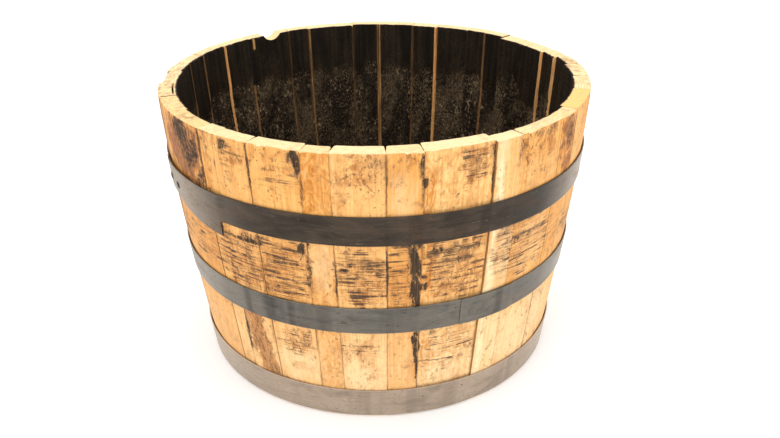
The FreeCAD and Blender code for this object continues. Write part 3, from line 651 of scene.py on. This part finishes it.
def steel(name, dark, mid, light, rust, roughness, paler_steel):
    """Weathered hoop strip: mottled mill scale, brown bloom, worn bright edges and scratches along the strip,
    and a painted reflection of the bright surroundings that lightens it towards the sides.
    """
    s = grained(name)
    mottle = s.noise((16, 60, 40), 5, 0.62, 0.5)
    fine = s.noise((180, 500, 480), 5, 0.65)
    drawn = s.noise((9, 900, 900), 3, 0.6)
    s.colour = s.colours(mottle * 0.86 + drawn * 0.14, (0.3, dark), (0.5, mid), (0.72, light))
    s.paint(s.noise((30, 3, 4), 3, 0.5).band(0.5, 0.66, 0, 0.4), dark)
    darker = tuple(0.45 * channel for channel in dark)
    s.paint(s.attribute("shade") * mottle.band(0.3, 0.6, 1.0, 0.7), darker)
    # Painted reflection: the bright surroundings lighten each hoop towards its sides, in the paler colour.
    s.paint(s.attribute("side_reflection") * mottle.band(0.3, 0.6, 0.55, 1.0), paler_steel)
    streaks = s.noise((11, 260, 260), 3, 0.6).band(0.52, 0.66)
    bloom = mottle.band(0.46, 0.66) * (fine.band(0.42, 0.62) + streaks)
    s.paint(s.math("MULTIPLY", bloom, rust, clamp=True), (0.1, 0.05, 0.022))
    pits = s.noise((700, 700, 700), 3, 0.6).band(0.62, 0.72)
    s.paint(pits * 0.45, (0.035, 0.026, 0.02))
    spots = s.noise((95, 210, 210), 4, 0.65).band(0.635, 0.68)
    s.paint(spots * 0.8, (0.05, 0.032, 0.02))
    s.paint(s.noise((60, 900, 320), 4, 0.6, 1.2).band(0.65, 0.71, 0, 0.42), paler_steel)
    s.paint(s.attribute("edge") * fine.band(0.36, 0.62, 0.1, 0.75), light)
    rough = mottle.band(0.35, 0.65, roughness, roughness + 0.2)
    return s.finish(rough, s.bump(drawn * 0.5 + fine - pits, 0.0001), metallic=0.85, specular=0.5)


def dowel_wood():
    s = Shader("dowel_wood")
    s.place = s.node("ShaderNodeTexCoord", {}, "Object")
    fibres = s.noise((60, 700, 700), 4, 0.6)
    s.colour = s.colours(fibres, (0.3, (0.42, 0.25, 0.12)), (0.7, (0.66, 0.45, 0.25)))
    return s.finish(0.65, s.bump(fibres, 0.0002), specular=0.3)


OAK = {"outside": oak_outside(), "end": oak_end(), "joint": oak_joint(), "char": char()}
# Each finish: its dark, middle and light colours, its rust, its roughness, and the paler colour of its
# scratches, which also paints the reflection at the hoop's sides. The lower the hoop, the paler its colours:
# partly its own tone, partly a painted reflection of the pale floor.
STEELS = {
    "dark": steel("steel_dark", (0.02, 0.016, 0.012), (0.052, 0.04, 0.03), (0.09, 0.073, 0.058),
                  0.45, 0.32, (0.42, 0.335, 0.255)),
    "grey": steel("steel_grey", (0.072, 0.068, 0.06), (0.155, 0.145, 0.126), (0.25, 0.235, 0.205),
                  0.3, 0.36, (0.36, 0.325, 0.275)),
    "pale": steel("steel_pale", (0.25, 0.2, 0.155), (0.43, 0.345, 0.27), (0.56, 0.47, 0.385),
                  0.25, 0.38, (0.55, 0.46, 0.37)),
}


# ---------------------------------------------------------------- staves
def joint_at(theta):
    """Opening, reach, bareness and bare height of the joint at this angle."""
    for where, *values in JOINTS:
        if abs(angle_gap(where, theta)) < JOINT_NEAR:
            return values
    return PLAIN_JOINT


class StaveGrid:
    """The points of one stave's mesh before anything moves them. across, depth and z are metres from its
    first joint, from its outer face and from the floor. u and v are shares of its width and thickness."""

    def __init__(self, number):
        self.number = number
        self.stave = stave = Stave(f"stave_{number:02d}")
        self.turn = math.radians(stave.end - stave.start)
        mid_height = 0.3
        self.width = self.turn * 0.5 * (stave.outer_at(mid_height) + stave.inner_at(mid_height))
        across_lines = graded(self.width, 2.2 * MM) / self.width
        lines = across_lines, self.inward_lines(), self.up_lines()
        self.u, self.v, self.z, self.quads, self.sides = shell_on_lines(*lines)
        self.outer = stave.outer_at(self.z)
        self.thick = self.outer - stave.inner_at(self.z)
        self.across = self.u * self.width
        self.depth = self.v * self.thick
        self.from_side = np.minimum(self.u, 1.0 - self.u) * self.width
        self.offset = np.array([random_for(number, salt) for salt in (2, 3, 4)]) * 7.0
        self.place = vectors(self.across, self.depth, self.z) + self.offset
        self.skin = vectors(self.across, 0.0, self.z) + self.offset
        self.wall = vectors(self.across, self.z, 0.0) + self.offset

    def inward_lines(self):
        """Shares of the thickness, closer near both faces and beside the split."""
        lines = np.array([0.0, 0.02, 0.06, 0.16, 0.34, 0.55, 0.74, 0.84, 0.91, 0.96, 0.985, 1.0])
        split_stave, _, _, split = RIM_SPLIT
        if self.number == split_stave:
            lines = np.sort(np.append(lines, split + np.array([-0.056, -0.044, 0.0, 0.044, 0.056])))
        return lines

    def up_lines(self):
        """Heights, with a pair of lines at each edge of the croze to keep it sharp."""
        low, high, _ = self.stave.croze
        clear, near = 1.2 * MM, 0.05 * MM
        lines = graded(self.stave.top, 2.3 * MM, (0.4, 1.0, 2.0, 3.6))
        lines = lines[(np.abs(lines - low) > clear) & (np.abs(lines - high) > clear)]
        return np.sort(np.concatenate([lines, [low - near, low + near, high - near, high + near]]))


def in_split(number, theta, share):
    """1 inside the split along a stave's sawn end, and 0 elsewhere."""
    stave, start, end, middle = RIM_SPLIT
    if number != stave:
        return np.zeros(len(theta))
    turned = theta % 360.0
    taper = 2.5
    half = 0.05 * smooth(start, start + taper, turned) * fade(end, turned, full=end - taper)
    return (np.abs(share - middle) < half).astype(float)


def rim_cut(grid, theta):
    """How far below the rim's plane the sawn end lies at each place."""
    number, stave, depth, thick = grid.number, grid.stave, grid.depth, grid.thick
    spot = vectors(grid.across + grid.offset[0], depth, number * 1.7)
    cut = 0.0005 * random_for(number, 1) + 0.00012 * (1.0 + noise(spot, (0.0017, 0.05, 1), 31))
    cut += 0.00035 * (1.0 + fractal(spot, (0.02, 0.012, 1), 32))
    from_face = np.minimum(depth, thick - depth)
    chips = np.clip(fractal(spot, (0.011, 0.006, 1), 33) - 0.12, 0.0, 1.0)
    cut += (0.0005 + 0.0042 * chips) * fade(0.0026, from_face)
    cut += (0.0006 + 0.0050 * chips) * fade(0.0022, grid.from_side)
    split_deep = 0.009
    cut += split_deep * in_split(number, theta, depth / thick)
    broken_stave, corner, reach, deep = BROKEN_CORNER
    if number == broken_stave:
        ragged = theta - corner + 0.8 * fractal(spot, (0.006, 0.006, 1), 35) + 40.0 * (depth - 0.5 * thick)
        cut += deep * fade(reach, ragged, full=0.2 * reach)
    where, radius, above = BUNG
    along = np.radians(angle_gap(theta, where)) * (stave.outer_at(stave.top) - depth)
    along += 0.0006 * noise(spot, (0.004, 0.004, 1), 34)
    notch = np.sqrt(np.clip(radius ** 2 - along ** 2, 0.0, None)) - above
    return np.maximum(cut, notch + 0.3 * cut)


def open_joints(grid):
    """What shows at the two joints: how far each face draws back (they meet at mid-thickness, round off
    outside and open into a vee inside), how bare of char it is, its dirt, and where it is blackened."""
    stave, u, z, depth, thick = grid.stave, grid.u, grid.z, grid.depth, grid.thick
    shifts = []
    bareness, packed, blackened = np.zeros((3, len(u)))
    for side, theta in ((0, stave.start), (1, stave.end)):
        opening, reach, bare, bare_below = joint_at(theta)
        along_joint = vectors(side * 3.0 + grid.number, z, 0.0)
        wobble = 1.0 + (0.35 - 0.25 * bare) * noise(along_joint, (1, 0.035, 1), 41)
        inside = np.clip((depth - (thick - reach * MM)) / (reach * MM), 0.0, 1.0)
        shift = 0.02 * MM + 0.5 * opening * MM * inside * wobble + 0.1 * MM * fade(0.0022, depth) * wobble
        vee = sum(wide for where, wide in RIM_VEES if abs(angle_gap(where, theta)) < JOINT_NEAR)
        vee_here = smooth(0.10, 1.0, depth / thick) * smooth(stave.top - VEE_DEEP, stave.top, z)
        shifts.append(np.maximum(shift, 0.5 * vee * MM * vee_here))
        from_joint = np.abs(u - side) * grid.width + 0.0009 * noise(grid.place, (1, 1, 0.02), 73)
        dirt = JOINT_DIRT.get(round(theta, 1), 0.25 + 0.5 * random_for(int(theta * 10) % 3600, 7))
        packed = np.maximum(packed, dirt * fade(0.0018, from_joint, full=0.0002))
        bare_here = bare * (z < bare_below * MM + 0.004 * wobble) * (0.75 + 0.25 * wobble)
        bareness = np.maximum(bareness, bare_here * (np.abs(u - side) < 0.5))
        if vee:
            blackened = np.maximum(blackened, (depth > 0.08 * thick) * (np.abs(u - side) < 0.01))
    return shifts, bareness, packed, blackened


def pressed_in(grid):
    """How far the outer face lies within its limits: a little everywhere, more in dents and at its edges."""
    wave = 0.00022 * (1.0 + noise(grid.skin, (0.045, 1, 0.16), 51))
    wave += 0.00012 * (1.0 + fractal(grid.skin, (0.006, 1, 0.09), 52))
    dents = 0.0007 * np.clip(fractal(grid.skin, (0.018, 1, 0.03), 53) - 0.25, 0.0, 1.0)
    rounding = 0.0003 * fade(0.0012, grid.from_side) + 0.0012 * fade(0.0022, grid.z)
    rounding += 0.0004 * fade(0.0014, grid.stave.top - grid.z)
    return (wave + dents + rounding) * fade(0.16, grid.v)


def char_relief(grid):
    """How flaky the char is, its cracks, and how far it is eaten away. It is cracked into blocks low down,
    and nearly smooth above."""
    wall, z = grid.wall, grid.z
    line = CHAR_LINE + 0.024 * (random_for(grid.number, 12) - 0.5) + 0.022 * noise(wall, (0.05, 0.05, 1), 61)
    line += 0.014 * fractal(wall, (0.016, 0.03, 1), 63)
    flaky = (1.0 - 0.88 * smooth(line - 0.016, line + 0.014, z)) * smooth(0.046, 0.052, z)
    gap, which = blocks(wall, (0.0075, 0.0125, 1), 62)
    small_gap, small_which = blocks(wall + 3.3, (0.0042, 0.0058, 1), 65)
    crack = fade(0.30, gap, full=0.03)
    small_crack = fade(0.35, small_gap, full=0.05)
    eaten = flaky * (0.0011 * crack + 0.0009 * which + 0.0006 * small_crack + 0.0007 * small_which)
    eaten += flaky * 0.0008 * (1.0 + fractal(wall, (0.012, 0.02, 1), 68))
    eaten += 0.00018 * (1.0 + fractal(wall, (0.004, 0.05, 1), 69))
    return flaky, crack, eaten * smooth(0.8, 1.0, grid.v)


def stave_stains(grid, theta, on_rim):
    """The five kinds of mark. Fewer of them reach the sawn end, except where it is weathered."""
    z = grid.z
    warps = [fractal(grid.skin, size, seed, 4) for size, seed in
             (((0.012, 1, 0.03), 71), ((0.012, 1, 0.03), 75), ((0.007, 1, 0.02), 79))]
    kinds = ("dark", "amber", "brown", "scrape", "pale")
    dark, amber, brown, scrape, pale = (mark_density(kind, theta, z, *warps) for kind in kinds)
    turned = angle_gap(theta, 0.0)
    weathered = np.maximum(fade(-45.0, turned, full=-62.0), smooth(70.0, 78.0, turned))
    brown *= np.where(on_rim, 0.25 + 0.75 * weathered, 1.0)
    dark *= np.where(on_rim, 0.3, 1.0)
    return vectors(dark, amber, brown, scrape), pale


def stave_tints(grid):
    """Paleness, warmth, the browner level between two hoops, and how curly the grain is."""
    number, z = grid.number, grid.z
    tint, warmth = TINTS.get(number, (0.15 + 0.5 * random_for(number, 5), 0.35 * random_for(number, 6)))
    paler_below = 0.48 * fade(0.24, z, full=0.10)
    level = 0.16 * (smooth(0.205, 0.225, z) - smooth(0.30, 0.312, z))
    paleness = np.clip(0.5 * tint + paler_below, 0.0, 1.0)
    return vectors(paleness, warmth, level, FIGURE.get(number, PLAIN_FIGURE))


def splinter_at(grid, theta):
    """1 on the splinter of bare wood, and 0 elsewhere."""
    where, above = SPLINTER
    beside = np.abs(angle_gap(theta, where)) + 0.15 * noise(grid.wall, (0.01, 0.01, 1), 74)
    return fade(0.55, beside, full=0.40) * smooth(above, above + 2 * MM, grid.z)


def stave_burns(grid, theta, on_rim, bareness, blackened):
    """How black the sawn end and the joint faces are. The bevel below the head never burnt."""
    to_char = grid.thick - grid.depth
    low, high, _ = grid.stave.croze
    grain_size = (0.006, 0.006, 0.02)
    burnt = smooth(0.0040, 0.0004, to_char + 0.0009 * noise(grid.place, grain_size, 72))
    scorched = smooth(0.0090, 0.0050, to_char + 0.0009 * noise(grid.place, grain_size, 76))
    joint = np.maximum(scorched * (1.0 - bareness * (to_char < 0.012)), blackened)
    joint *= smooth(low - 0.002, high, grid.z)
    return np.where(on_rim, np.maximum(burnt, in_split(grid.number, theta, grid.v)), joint)


def build_stave(number):
    grid = StaveGrid(number)
    stave, z = grid.stave, grid.z
    (left, right), bareness, packed, blackened = open_joints(grid)
    flaky, crack, eaten = char_relief(grid)
    radius = grid.outer - grid.depth
    full = grid.turn * radius
    theta = stave.start + np.degrees((left + grid.u * (full - left - right)) / radius)
    cut = rim_cut(grid, theta)
    reach_down = np.where(cut > 0.003, 0.055, 0.010)
    height = z - cut * smooth(stave.top - reach_down, stave.top, z)
    points = at_angle(theta, radius - pressed_in(grid) + eaten, height)

    on_rim = z > stave.top - 0.1 * MM
    stains, pale = stave_stains(grid, theta, on_rim)
    bare_patch = np.maximum(bareness * fade(0.0016, grid.from_side), splinter_at(grid, theta))
    attributes = {"grain": grid.place, "stain": stains, "pale": pale, "tint": stave_tints(grid),
                  "charred": vectors(flaky, crack, bare_patch, 1.0), "edge": packed,
                  "warm_end": np.full(len(z), WARM_ENDS.get(number, 0.0)),
                  "burnt": stave_burns(grid, theta, on_rim, bareness, blackened)}
    outside, end, joint, char_slot = range(4)
    slots = np.choose(grid.sides, [outside, char_slot, joint, end])
    below_head = z[grid.quads].mean(axis=1) < stave.croze[1]
    slots = np.where((grid.sides == INNER) & below_head, joint, slots)
    node = f"stave_{number:02d}"
    materials = [OAK["outside"], OAK["end"], OAK["joint"], OAK["char"]]
    add_piece(f"oak_{node}", points, grid.quads, slots, materials, node, attributes)


# ---------------------------------------------------------------- hoops
class Strip:
    """A hoop's strip as its CAD solid has it: the heights of its edges, its thickness, the radius it sits
    on at mid-width, and how that grows with height."""

    def __init__(self, name):
        end, lap, slant, *_ = HOOPS[name]
        points = node_points(name)
        theta, radius = polar(points)
        back = (math.copysign(1.0, lap) * (theta - end)) % 360.0
        ring = (back > slant + 4.0) & (back < 350.0 - slant)
        heights, radii = points[ring, 2], radius[ring]
        self.low, self.high = heights.min(), heights.max()
        self.width = self.high - self.low
        at_low, at_high = radii[heights < self.low + 1e-5], radii[heights > self.high - 1e-5]
        self.thick = at_low.max() - at_low.min()
        self.slope = (at_high.min() - at_low.min()) / self.width
        self.seat = 0.5 * (at_low.min() + at_high.min())

    def seat_at(self, height):
        return self.seat + self.slope * (height - 0.5 * (self.low + self.high))


def strip_grid(strip, lap, turn):
    """Points along the strip in degrees, through it as shares and across it in metres."""
    coarse_from, coarse_to = abs(lap) + 2 * JOGGLE, 355.0
    along_lines = np.concatenate([
        [0.0, 0.06, 0.2], np.arange(0.5, coarse_from, 0.5), np.arange(coarse_from, coarse_to, 1.0),
        np.arange(coarse_to, turn - 0.3, 0.5), [turn - 0.2, turn - 0.06, turn]])
    edge_lines = np.array([0.0, 0.35, 0.9, 1.8]) * MM
    rows = np.linspace(edge_lines[-1], strip.width - edge_lines[-1], 14)
    up_lines = np.concatenate([edge_lines[:-1], rows, strip.width - edge_lines[:-1][::-1]])
    return shell_on_lines(along_lines, np.array([0.0, 0.25, 0.75, 1.0]), up_lines)


def painted_side_reflection(theta):
    """How far a painted reflection of the bright surroundings lightens the steel: hardly at the front, most
    at the sides, and little behind.
    """
    from_front = angle_gap(theta, 0.0)
    turned = np.abs(from_front)
    to_right = from_front > 0.0
    paler_steel = smooth(0.0, 30.0, turned - np.where(to_right, 42.0, 31.0))
    return paler_steel * (1.0 - 0.75 * smooth(78.0, 112.0, turned)) * np.where(to_right, 1.0, 0.75)


def hoop_shade(name, theta, skin):
    shade = np.zeros(len(theta))
    for where, half_width, strength in HOOP_SHADES[name]:
        gap = (angle_gap(theta, where) + 0.5 * noise(skin, (0.02, 0.02, 1), 84)) / half_width
        shade = np.maximum(shade, strength * fade(1.1, np.abs(gap), full=0.55))
    return shade


def build_hoop(name):
    end, lap, slant, hang, tucked, finish = HOOPS[name]
    strip = Strip(name)
    turn = 360.0 + abs(lap) - (0.0 if tucked else END_GAP)
    back, through, up, quads, sides = strip_grid(strip, lap, turn)

    if tucked:
        lapped = smooth(360.0 - END_GAP - JOGGLE, 360.0 - END_GAP, back)
        to_feather = turn - back
    else:
        lapped = fade(abs(lap) + JOGGLE, back, full=abs(lap))
        to_feather = back
    slanting = np.clip(1.0 - back / slant, 0.0, 1.0)
    height = strip.low + up - hang * slanting ** 2 * (3.0 - 2.0 * slanting)
    along = np.radians(back) * strip.seat
    skin = vectors(along, up, 0.0) + random_for(len(name), 9) * 5.0
    to_edge = np.minimum(up, strip.width - up)
    on_face = through > 0.5
    corner = 0.00045 * fade(0.0009, to_edge) * np.where(on_face, 1.0, -1.0)
    bruise = 0.00030 * np.clip(fractal(skin, (0.03, 0.012, 1), 82), 0.0, 1.0) * on_face
    seat = strip.seat_at(height) + (strip.thick + STAND_OFF) * lapped
    thinned = 1.0 - 0.55 * fade(3.0, to_feather)
    radius = np.maximum(seat + through * strip.thick * thinned - corner - bruise, seat)
    wander = np.abs(0.0004 * noise(skin, (0.05, 1, 1), 83))
    height = height + wander * (up < 1 * MM) - wander * (up > strip.width - 1 * MM)
    theta = end + math.copysign(1.0, lap) * back
    points = at_angle(theta, radius, height)

    from_end = np.minimum(back, turn - back) * math.radians(1.0) * strip.seat
    # One of these attributes is the painted reflection that lightens the steel towards the sides.
    attributes = {"grain": vectors(along, up, through * strip.thick) + random_for(len(name), 8) * 5.0,
                  "edge": fade(0.0016, np.minimum(to_edge, from_end), full=0.0002),
                  "side_reflection": painted_side_reflection(theta), "shade": hoop_shade(name, theta, skin)}
    slots = np.zeros(len(sides))
    # The finish used here is paler on the lower hoops, partly as a painted reflection of the pale floor.
    add_piece(f"steel_{name}", points, quads, slots, [STEELS[finish]], name, attributes, 45.0)


# ---------------------------------------------------------------- head
HEAD_FULL = HEAD_EDGE - 0.0355          # radius up to which the head has its full thickness
HEAD_NECK = HEAD_EDGE - 0.0105          # radius at which its bevel meets the tongue
TONGUE_HALF = 0.0027                    # half of the tongue's thickness


def board_grid(low, high):
    """The points of a board between two joints: along it, across it, through it as a share, and from the
    nearer joint. Beside the round edge they follow rings, so that the bevel stays smooth."""
    joint_half, within = 0.15 * MM, 0.9994 * HEAD_EDGE
    steps = graded(high - low - 2 * joint_half, 2.6 * MM)
    side_lines = np.clip(low + joint_half + steps, -within, within)
    rings = np.concatenate([np.linspace(HEAD_FULL, HEAD_NECK, 9),
                            np.linspace(HEAD_NECK, HEAD_EDGE - 0.0006, 4)[1:], [HEAD_EDGE]])
    middle_steps = np.linspace(-1.0, 1.0, 150)[1:-1]
    count, inner = len(rings), len(middle_steps)
    through_lines = np.array([0.0, 0.1, 0.5, 0.9, 1.0])
    column, v, across, quads, sides = shell_on_lines(np.arange(2 * count + inner), through_lines, side_lines)
    # Where a board's side leaves a ring, the ring's points close up, but stay a hair apart.
    apart = 0.08 * MM * (np.arange(count) + 1)
    reach = np.sqrt(np.maximum(rings ** 2 - across[:, None] ** 2, apart ** 2))
    reach = np.maximum.accumulate(reach + apart * 1e-3, axis=1)
    rows = np.arange(len(column))
    to_left = -reach[rows, np.clip(count - 1 - column, 0, count - 1)]
    to_right = reach[rows, np.clip(column - count - inner, 0, count - 1)]
    between = middle_steps[np.clip(column - count, 0, inner - 1)] * reach[:, 0]
    along = np.where(column < count, to_left, np.where(column < count + inner, between, to_right))
    from_joint = np.minimum(across - side_lines[0], side_lines[-1] - across)
    return along, across, v, from_joint, quads, sides


def board_relief(flat, radius, from_joint):
    """How far a board's charred top has sunk, its cracks, and how far its bare underside is pressed in."""
    gap, which = blocks(flat, (0.013, 0.0085, 1), 102)
    crack = fade(0.28, gap, full=0.03)
    on_bevel = np.clip((radius - HEAD_FULL) / (HEAD_NECK - HEAD_FULL), 0.0, 1.0)
    in_neck = radius < HEAD_NECK
    sunk = 0.0010 * crack + 0.0008 * which + 0.0006 * (1.0 + fractal(flat, (0.02, 0.012, 1), 103, 4))
    sunk = sunk * smooth(1.0, 0.4, 0.9 * on_bevel) + 0.0026 * fade(0.0030, from_joint) * in_neck
    under = 0.00018 * (1.0 + fractal(flat, (0.12, 0.008, 1), 104)) + 0.0006 * fade(0.0018, from_joint)
    return sunk * (radius < HEAD_NECK + 1 * MM), crack, under * in_neck


def build_board(number):
    """One board of the head: charred above, bare below, thinned at its rim to fit the croze."""
    node = f"head_board_{number}"
    points = node_points(node)
    low_z, high_z = points[:, 2].min(), points[:, 2].max()
    turn = math.radians(BOARDS_RUN)
    across_axis = np.array([math.cos(turn), math.sin(turn), 0.0])
    along_axis = np.array([-math.sin(turn), math.cos(turn), 0.0])
    side = points @ across_axis
    along, across, v, from_joint, quads, sides = board_grid(side.min(), side.max())
    radius = np.hypot(along, across)
    half_thick = np.interp(radius, [HEAD_FULL, HEAD_NECK], [0.5 * (high_z - low_z), TONGUE_HALF])
    flat = vectors(along, across, 0.0) + 3.0 * number
    sunk, crack, under = board_relief(flat, radius, from_joint)
    rise = half_thick * (2.0 * v - 1.0) - sunk * (v == 1.0) + under * (v == 0.0)
    points = along[:, None] * along_axis + across[:, None] * across_axis
    points[:, 2] = 0.5 * (low_z + high_z) + rise

    scorched = 0.45 * fade(0.0040, from_joint, full=0.0012)
    paleness, warmth, weathering = (random_for(number, salt) for salt in (21, 22, 23))
    tints = vectors(0.10 + 0.60 * paleness, 0.05 + 0.35 * warmth, 0.10 + 0.45 * weathering, 0.2 + 0.0 * v)
    attributes = {"grain": vectors(across, rise, along) + 2.3 * number, "tint": tints,
                  "charred": vectors(0.75, crack, scorched, 1.0), "stain": vectors(0.0, 0.0, 0.10, 0.0 * v),
                  "edge": fade(0.0036, from_joint, full=0.0007), "burnt": np.clip(2.0 * v - 1.0, 0.0, 1.0)}
    below, above, edge_slot = range(3)
    slots = np.choose(sides, [below, above, edge_slot, edge_slot])
    materials = [OAK["outside"], OAK["char"], OAK["joint"]]
    add_piece(f"oak_{node}", points, quads, slots, materials, node, attributes)


# ---------------------------------------------------------------- all the pieces
def give_material(node, material):
    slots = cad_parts[node].data.materials
    slots.clear()
    slots.append(material)


for stave_number in STAVES:
    build_stave(stave_number)
for hoop_name in HOOPS:
    build_hoop(hoop_name)
for board_number in BOARDS:
    build_board(board_number)
for hoop_name, (*_, hoop_finish_and_reflection) in HOOPS.items():
    give_material(f"{hoop_name}_rivets", STEELS[hoop_finish_and_reflection])
give_material("head_dowels", dowel_wood())

# ---------------------------------------------------------------- floor, light and camera
FLOOR_HALF = 6.0
FLOOR_LEVEL = -0.0005
FLOOR_COLOUR = (0.93, 0.93, 0.925, 1.0)
FLOOR_GLOW = 0.16
SKY_COLOUR = (1.0, 0.99, 0.975, 1.0)
SKY_STRENGTH = 1.02
# Each softbox: where it hangs, the height on the axis that it aims at, its side and its power.
SOFTBOXES = {
    "key": ((-1.3, -2.2, 2.1), 0.25, 1.6, 18),
    "fill": ((2.0, -1.5, 1.3), 0.25, 1.4, 10),
    "top": ((0.0, 0.3, 2.4), 0.3, 1.6, 15),
}
CAMERA_PLACE = (0.0, -1.325, 0.847)
CAMERA_TILT = math.radians(63.47)       # from looking straight down
CAMERA_PAN = -0.016
CAMERA_ROLL = -0.0093
LENS, SENSOR_WIDTH = 40.6, 36.0


def add_object(name, data):
    made = bpy.data.objects.new(name, data)
    bpy.context.scene.collection.objects.link(made)
    return made


def build_floor():
    mesh = bpy.data.meshes.new("floor")
    corners = [(x * FLOOR_HALF, y * FLOOR_HALF, FLOOR_LEVEL) for x, y in ((-1, -1), (1, -1), (1, 1), (-1, 1))]
    mesh.from_pydata(corners, [], [(0, 1, 2, 3)])
    paper = Shader("paper")
    paper.colour = FLOOR_COLOUR
    paper.surface.inputs["Emission Color"].default_value = (1.0, 1.0, 1.0, 1.0)
    paper.surface.inputs["Emission Strength"].default_value = FLOOR_GLOW
    mesh.materials.append(paper.finish(0.9, specular=0.1))
    add_object("floor", mesh)


def build_sky():
    world = bpy.data.worlds.new("studio")
    world.use_nodes = True
    background = world.node_tree.nodes["Background"]
    background.inputs["Color"].default_value = SKY_COLOUR
    background.inputs["Strength"].default_value = SKY_STRENGTH
    bpy.context.scene.world = world


def build_softbox(name, place, aim_height, side, power):
    light = bpy.data.lights.new(name, "AREA")
    light.size = side
    light.energy = power
    lamp = add_object(name, light)
    lamp.location = place
    lamp.rotation_euler = (Vector((0, 0, aim_height)) - Vector(place)).to_track_quat("-Z", "Y").to_euler()


build_floor()
build_sky()
for box_name, box in SOFTBOXES.items():
    build_softbox(box_name, *box)

camera = add_object("camera", bpy.data.cameras.new("camera"))
camera.data.lens, camera.data.sensor_width = LENS, SENSOR_WIDTH
pan, tilt, roll = (Matrix.Rotation(turn, 4, axis) for turn, axis in
                   ((CAMERA_PAN, "Z"), (CAMERA_TILT, "X"), (CAMERA_ROLL, "Z")))
camera.matrix_world = Matrix.Translation(CAMERA_PLACE) @ pan @ tilt @ roll
bpy.context.scene.camera = camera
bpy.context.scene.view_settings.view_transform = "Standard"

bpy.context.view_layer.update()
